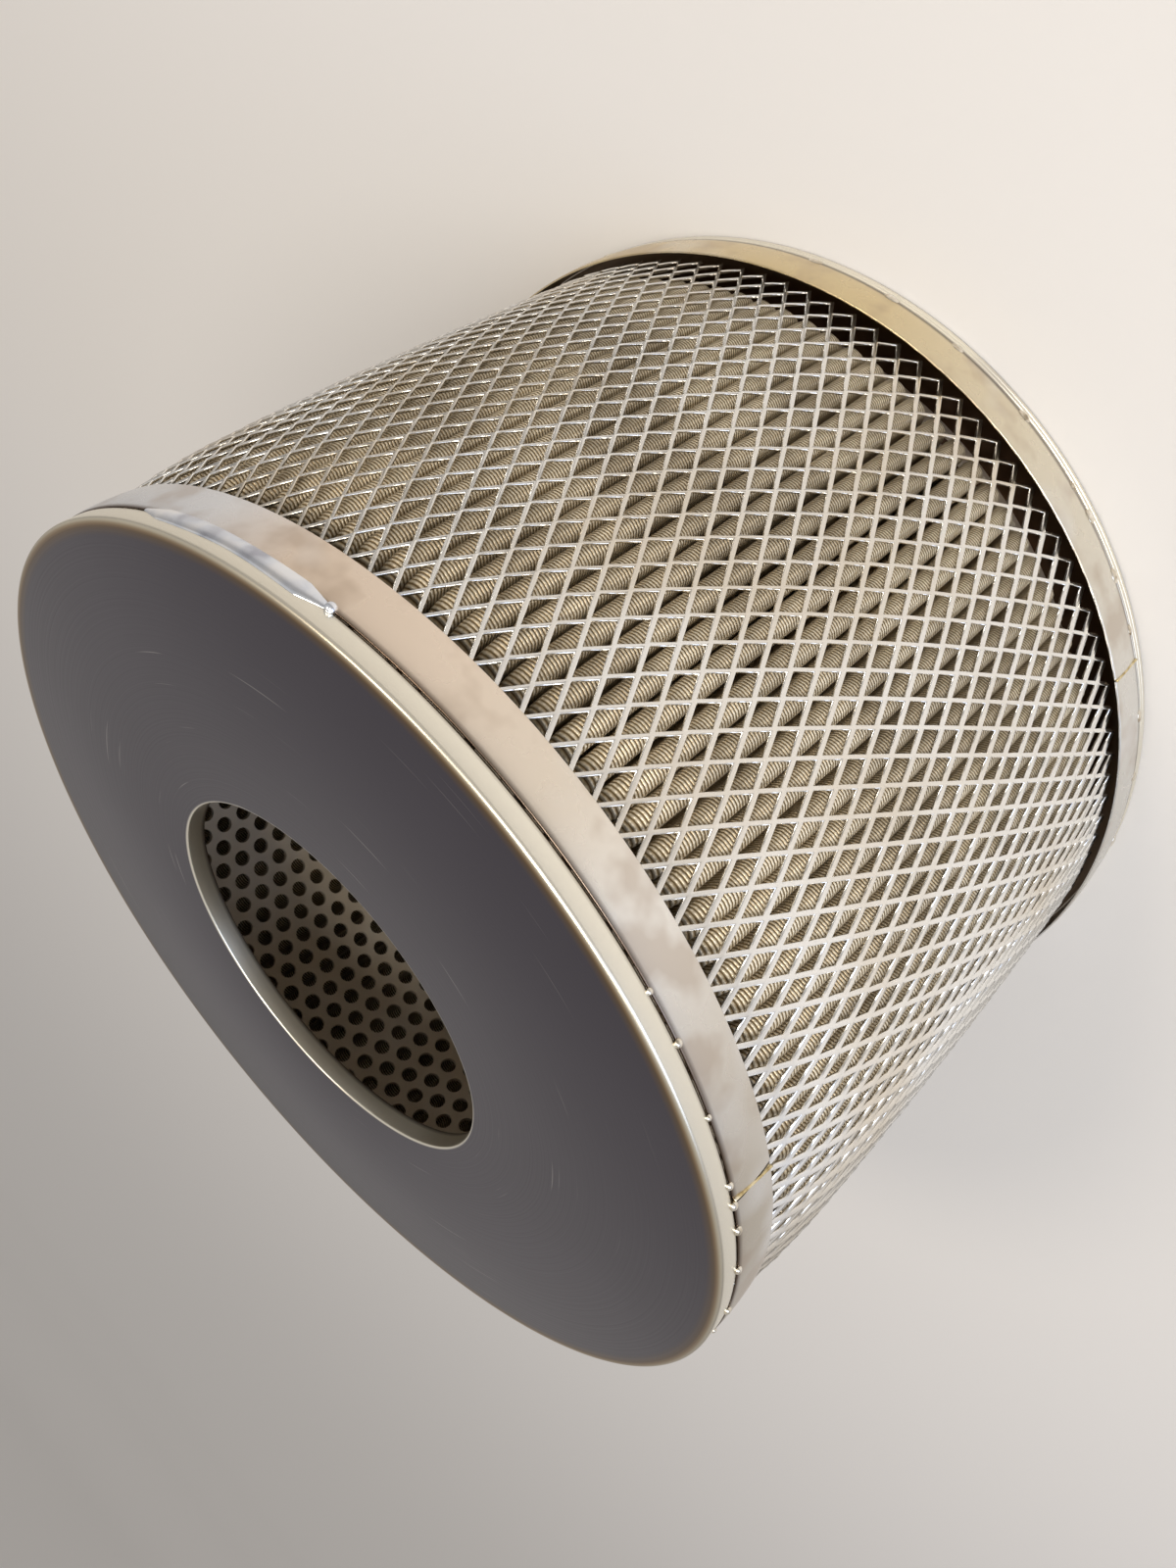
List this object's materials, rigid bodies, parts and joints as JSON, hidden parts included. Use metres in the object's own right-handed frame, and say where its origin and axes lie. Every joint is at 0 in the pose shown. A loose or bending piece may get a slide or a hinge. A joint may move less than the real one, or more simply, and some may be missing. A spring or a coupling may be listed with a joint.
{
  "type": "filter cartridge",
  "caption": "Slightly conical pleated wire mesh filter cartridge with an expanded metal guard, a perforated inner tube, a bored front plate and a blind rear plate",
  "frame": {"origin": "centre of the rear plate's outer face, on which the cartridge stands", "axes": "+Z along the cartridge's axis, from the blind rear plate to the bored front plate"},
  "size_m": [0.264, 0.264, 0.188],
  "materials": {
    "plate": "satin, dark",
    "band": "satin, heat tinted",
    "tube": "satin",
    "media": "woven wire",
    "guard": "bright satin",
    "weld": "heat tinted"
  },
  "bodies": {
    "root": {"front_plate": "plate", "rear_plate": "plate", "front_band": "band", "rear_band": "band", "inner_tube": "tube", "filter_media": "media", "outer_guard": "guard", "front_tack_welds": "weld", "rear_tack_welds": "weld", "front_seam_weld": "weld", "front_joint_weld": "weld", "rear_joint_weld": "weld"}
  },
  "joints": []
}
